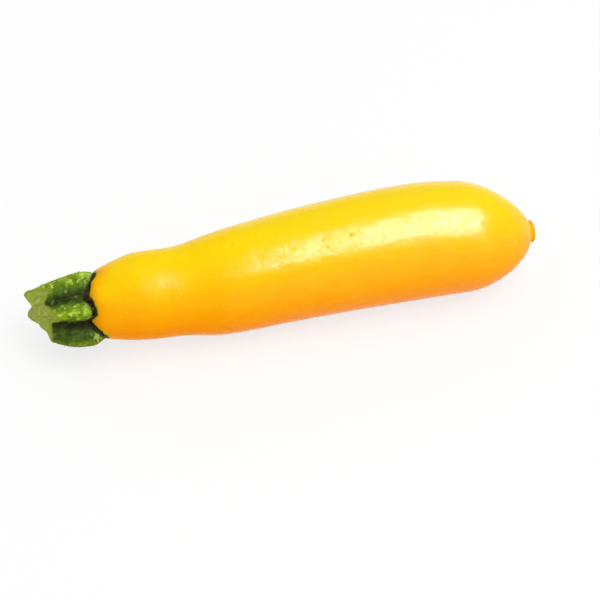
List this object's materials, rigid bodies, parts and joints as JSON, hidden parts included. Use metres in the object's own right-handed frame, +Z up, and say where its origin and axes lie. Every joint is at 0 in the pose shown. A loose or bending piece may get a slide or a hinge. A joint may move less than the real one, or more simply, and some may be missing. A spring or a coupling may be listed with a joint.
{
  "type": "yellow zucchini",
  "caption": "Picked yellow zucchini lying on its side: a smooth club-shaped fruit with a ribbed green cut stem and a small cork blossom scar.",
  "frame": {"origin": "on the floor, under the middle of the whole object's bounding box", "axes": "+X along the fruit from its cut stem towards its blossom end, +Z up from the floor it lies on, +Y away from its front side"},
  "size_m": [0.2036, 0.046, 0.0457],
  "materials": {
    "fruit_skin": "waxy skin, yellow on top and golden orange underneath and towards the stem",
    "stem_rind": "dark green ribbed rind with pale flecks, and a paler green fibrous cut face",
    "scar_cork": "dry tan cork with a brown rim"
  },
  "bodies": {
    "root": {"fruit": "fruit_skin", "stem": "stem_rind", "blossom_scar": "scar_cork"}
  },
  "joints": []
}
